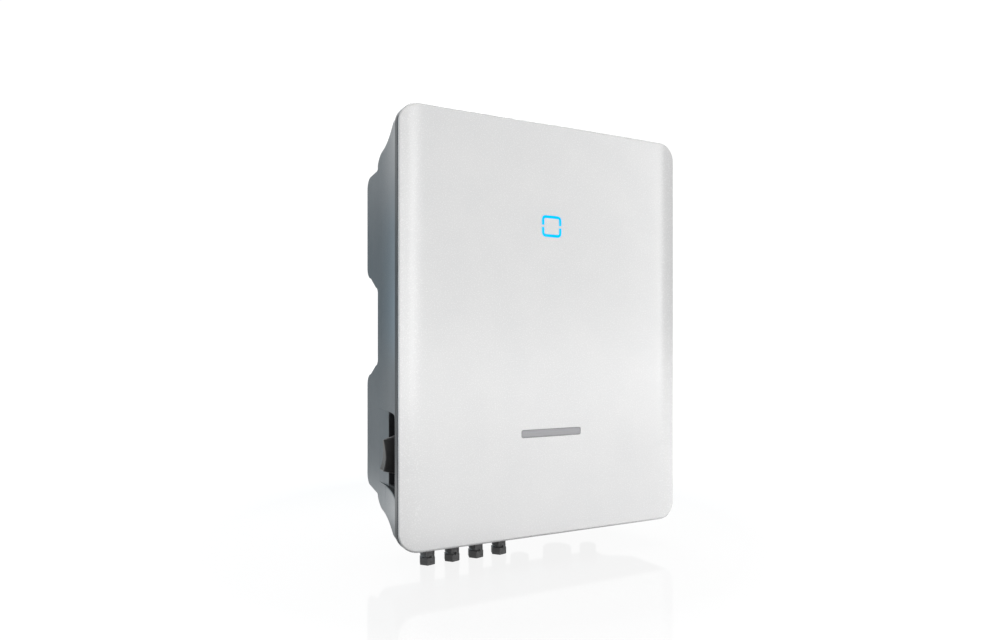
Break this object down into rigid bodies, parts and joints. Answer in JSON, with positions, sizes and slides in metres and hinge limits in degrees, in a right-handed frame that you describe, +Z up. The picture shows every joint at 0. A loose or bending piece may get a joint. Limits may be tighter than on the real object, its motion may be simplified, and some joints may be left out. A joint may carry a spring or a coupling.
{
  "type": "string inverter",
  "caption": "Wall-hung string inverter: white rounded cover with a cyan ring light, slate die-cast tub, rear fins, rotary DC switch in a side recess and outlets underneath.",
  "frame": {"origin": "middle of the wall bracket back face, at mid-height of the inverter, on the wall plane", "axes": "+Z up, +Y out of the back towards the wall, so the white front faces -Y; +X to the right seen from the front"},
  "size_m": [0.37, 0.195, 0.511],
  "materials": {
    "cover_white": "fine satin paint, white",
    "light_cyan": "translucent cyan, lit",
    "plate_grey": "satin",
    "housing_slate": "satin slate paint on a casting",
    "aluminium": "anodised satin",
    "steel": "zinc plated",
    "dark_plastic": "matt moulded",
    "connector_plastic": "satin moulded",
    "rubber": "matt",
    "board_green": "solder mask",
    "component_dark": "matt",
    "copper": "enamelled winding",
    "brass": "turned"
  },
  "bodies": {
    "root": {"ac_connector": "connector_plastic", "accessory_port": "connector_plastic", "board_post_1": "brass", "board_post_2": "brass", "board_post_3": "brass", "board_post_4": "brass", "boost_inductor_1": "aluminium", "boost_inductor_2": "aluminium", "communication_port": "connector_plastic", "control_board": "board_green", "earth_screw": "steel", "filter_board": "board_green", "front_cover": "cover_white", "front_lid": "housing_slate", "hanger_bracket": "steel", "hanger_screw_1": "steel", "hanger_screw_2": "steel", "heat_sink": "aluminium", "indicator_board": "board_green", "lid_gasket": "rubber", "lid_screw_1": "steel", "lid_screw_2": "steel", "lid_screw_3": "steel", "lid_screw_4": "steel", "lid_screw_5": "steel", "lid_screw_6": "steel", "light_guide": "light_cyan", "link_capacitor_1": "component_dark", "link_capacitor_2": "component_dark", "lock_screw_1": "steel", "lock_screw_2": "steel", "main_housing": "housing_slate", "nameplate": "plate_grey", "output_inductor": "copper", "output_relay_1": "component_dark", "output_relay_2": "component_dark", "power_board": "board_green", "power_module_1": "component_dark", "power_module_2": "component_dark", "pv_connector_1": "connector_plastic", "pv_connector_2": "connector_plastic", "pv_connector_3": "connector_plastic", "pv_connector_4": "connector_plastic", "pv_connector_nut_1": "connector_plastic", "pv_connector_nut_2": "connector_plastic", "pv_connector_nut_3": "connector_plastic", "pv_connector_nut_4": "connector_plastic", "shaft_seal": "rubber", "switch_bezel": "dark_plastic", "switch_contact_block": "component_dark", "vent_valve": "dark_plastic", "wall_bracket": "steel"},
    "dc_switch": {"switch_knob": "dark_plastic", "switch_shaft": "steel"},
    "ac_cap": {"ac_connector_cap": "rubber"},
    "communication_cap": {"communication_port_cap": "rubber"},
    "accessory_cap": {"accessory_port_cap": "rubber"}
  },
  "joints": [
    {"name": "switch_turn", "type": "hinge", "parent": "root", "child": "dc_switch", "pos_m": [-0.1531, -0.129, -0.143], "axis": [1, 0, 0], "range_deg": [0, 90]},
    {"name": "ac_cap_pull", "type": "slide", "parent": "root", "child": "ac_cap", "axis": [0, 0, -1], "range_m": [0, 0.018]},
    {"name": "communication_cap_pull", "type": "slide", "parent": "root", "child": "communication_cap", "axis": [0, 0, -1], "range_m": [0, 0.015]},
    {"name": "accessory_cap_pull", "type": "slide", "parent": "root", "child": "accessory_cap", "axis": [0, 0, -1], "range_m": [0, 0.015]}
  ]
}
